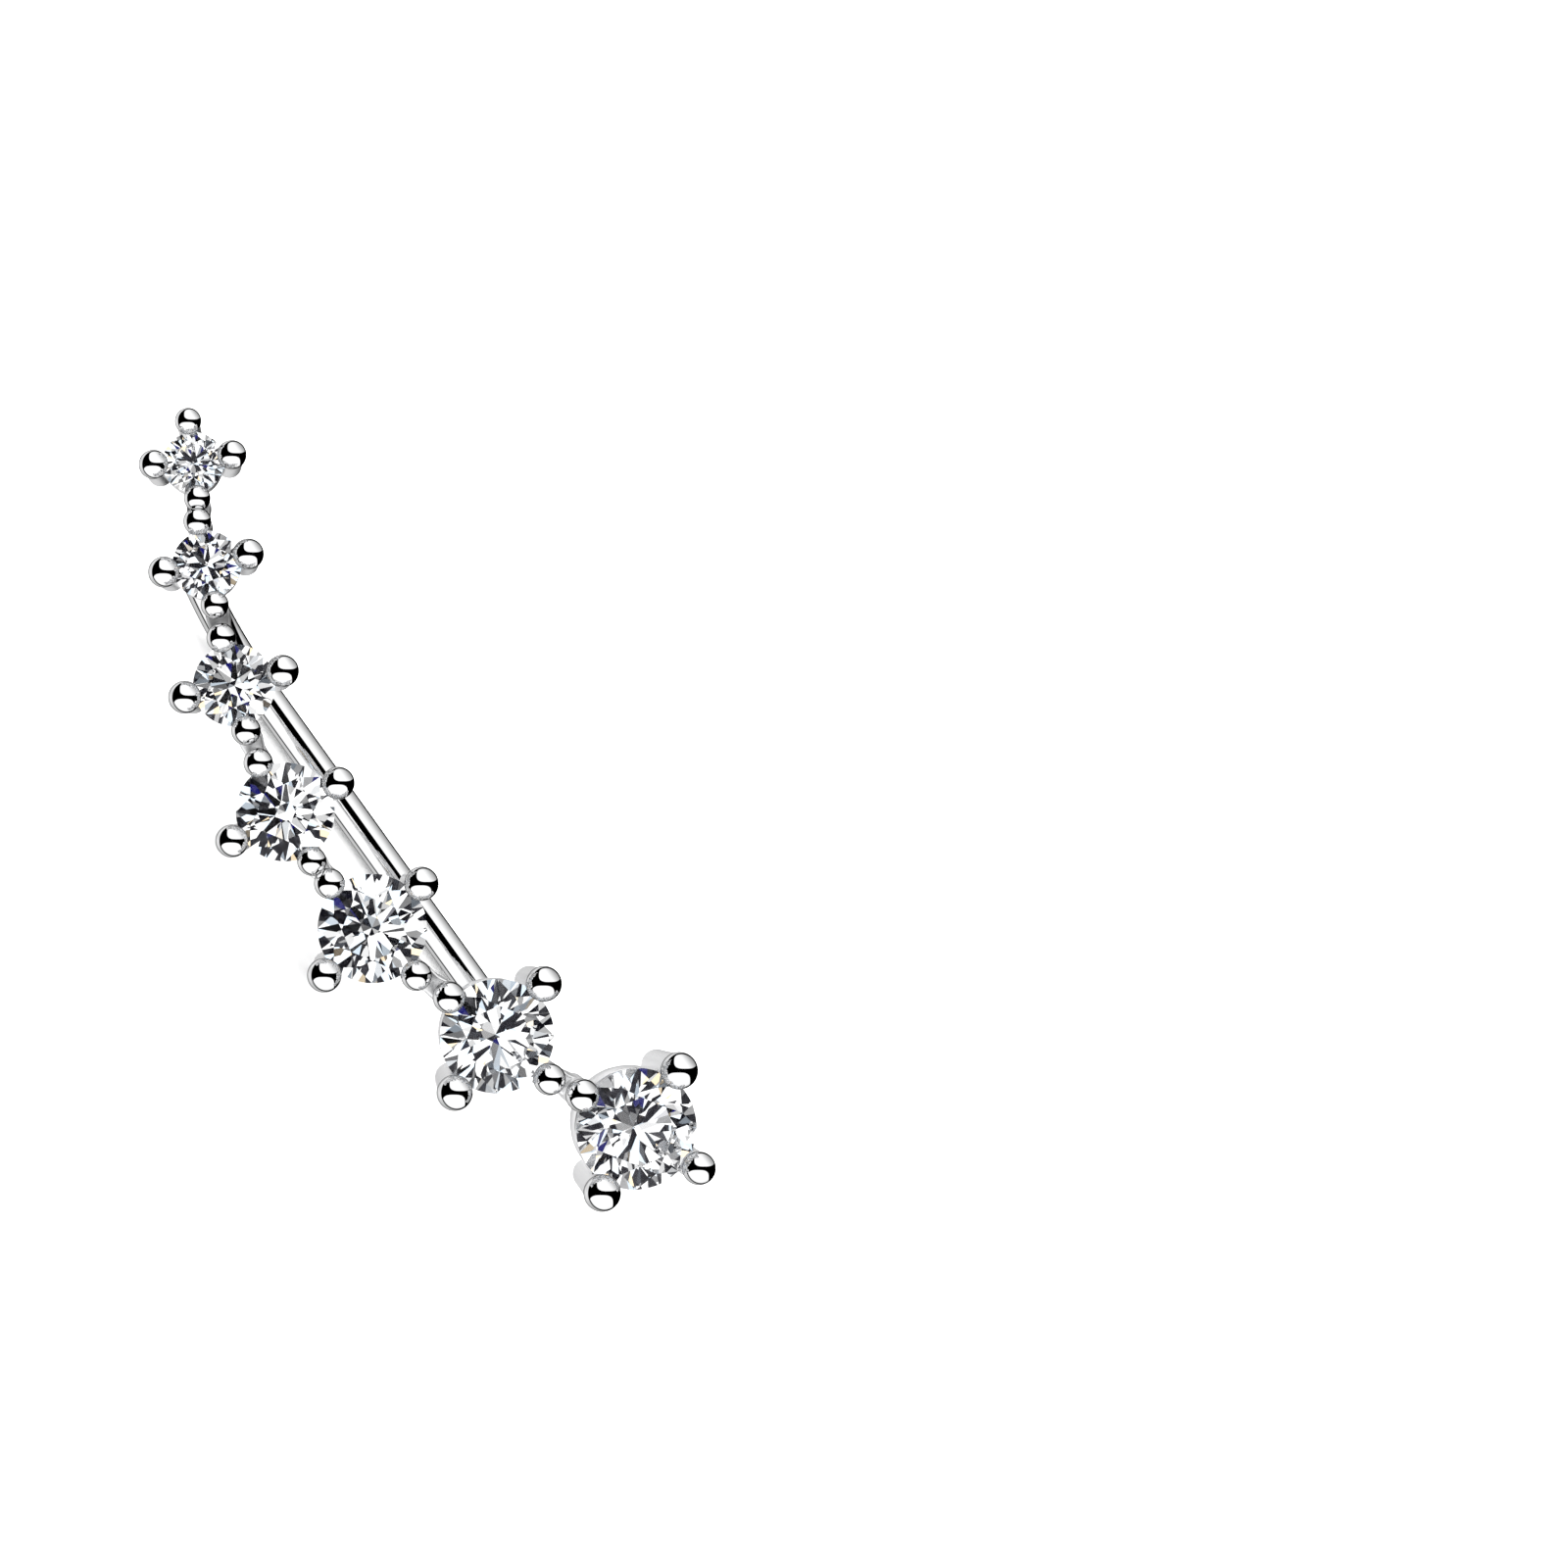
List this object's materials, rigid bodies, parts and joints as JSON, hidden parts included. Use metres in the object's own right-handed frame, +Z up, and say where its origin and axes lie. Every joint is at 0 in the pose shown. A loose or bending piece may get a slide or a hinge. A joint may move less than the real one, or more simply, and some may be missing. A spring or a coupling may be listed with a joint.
{
  "type": "ear climber stud earring",
  "caption": "Curved row of graduated round clear stones in claw baskets, with a bent ear wire that runs up behind the row.",
  "frame": {"origin": "on the surface the earring lies on, under the middle of its box", "axes": "+Z up as it lies; +X along the row from its tip, with the smallest stone, to its foot, with the largest; -Y the side that the stones look to, and up"},
  "size_m": [0.0226, 0.007, 0.0058],
  "materials": {
    "silver": "rhodium-plated sterling silver, mirror polished",
    "stone": "clear cubic zirconia, round brilliant cut, polished facets"
  },
  "bodies": {
    "root": {"climber_frame": "silver", "stone_1": "stone", "stone_2": "stone", "stone_3": "stone", "stone_4": "stone", "stone_5": "stone", "stone_6": "stone", "stone_7": "stone"}
  },
  "joints": []
}
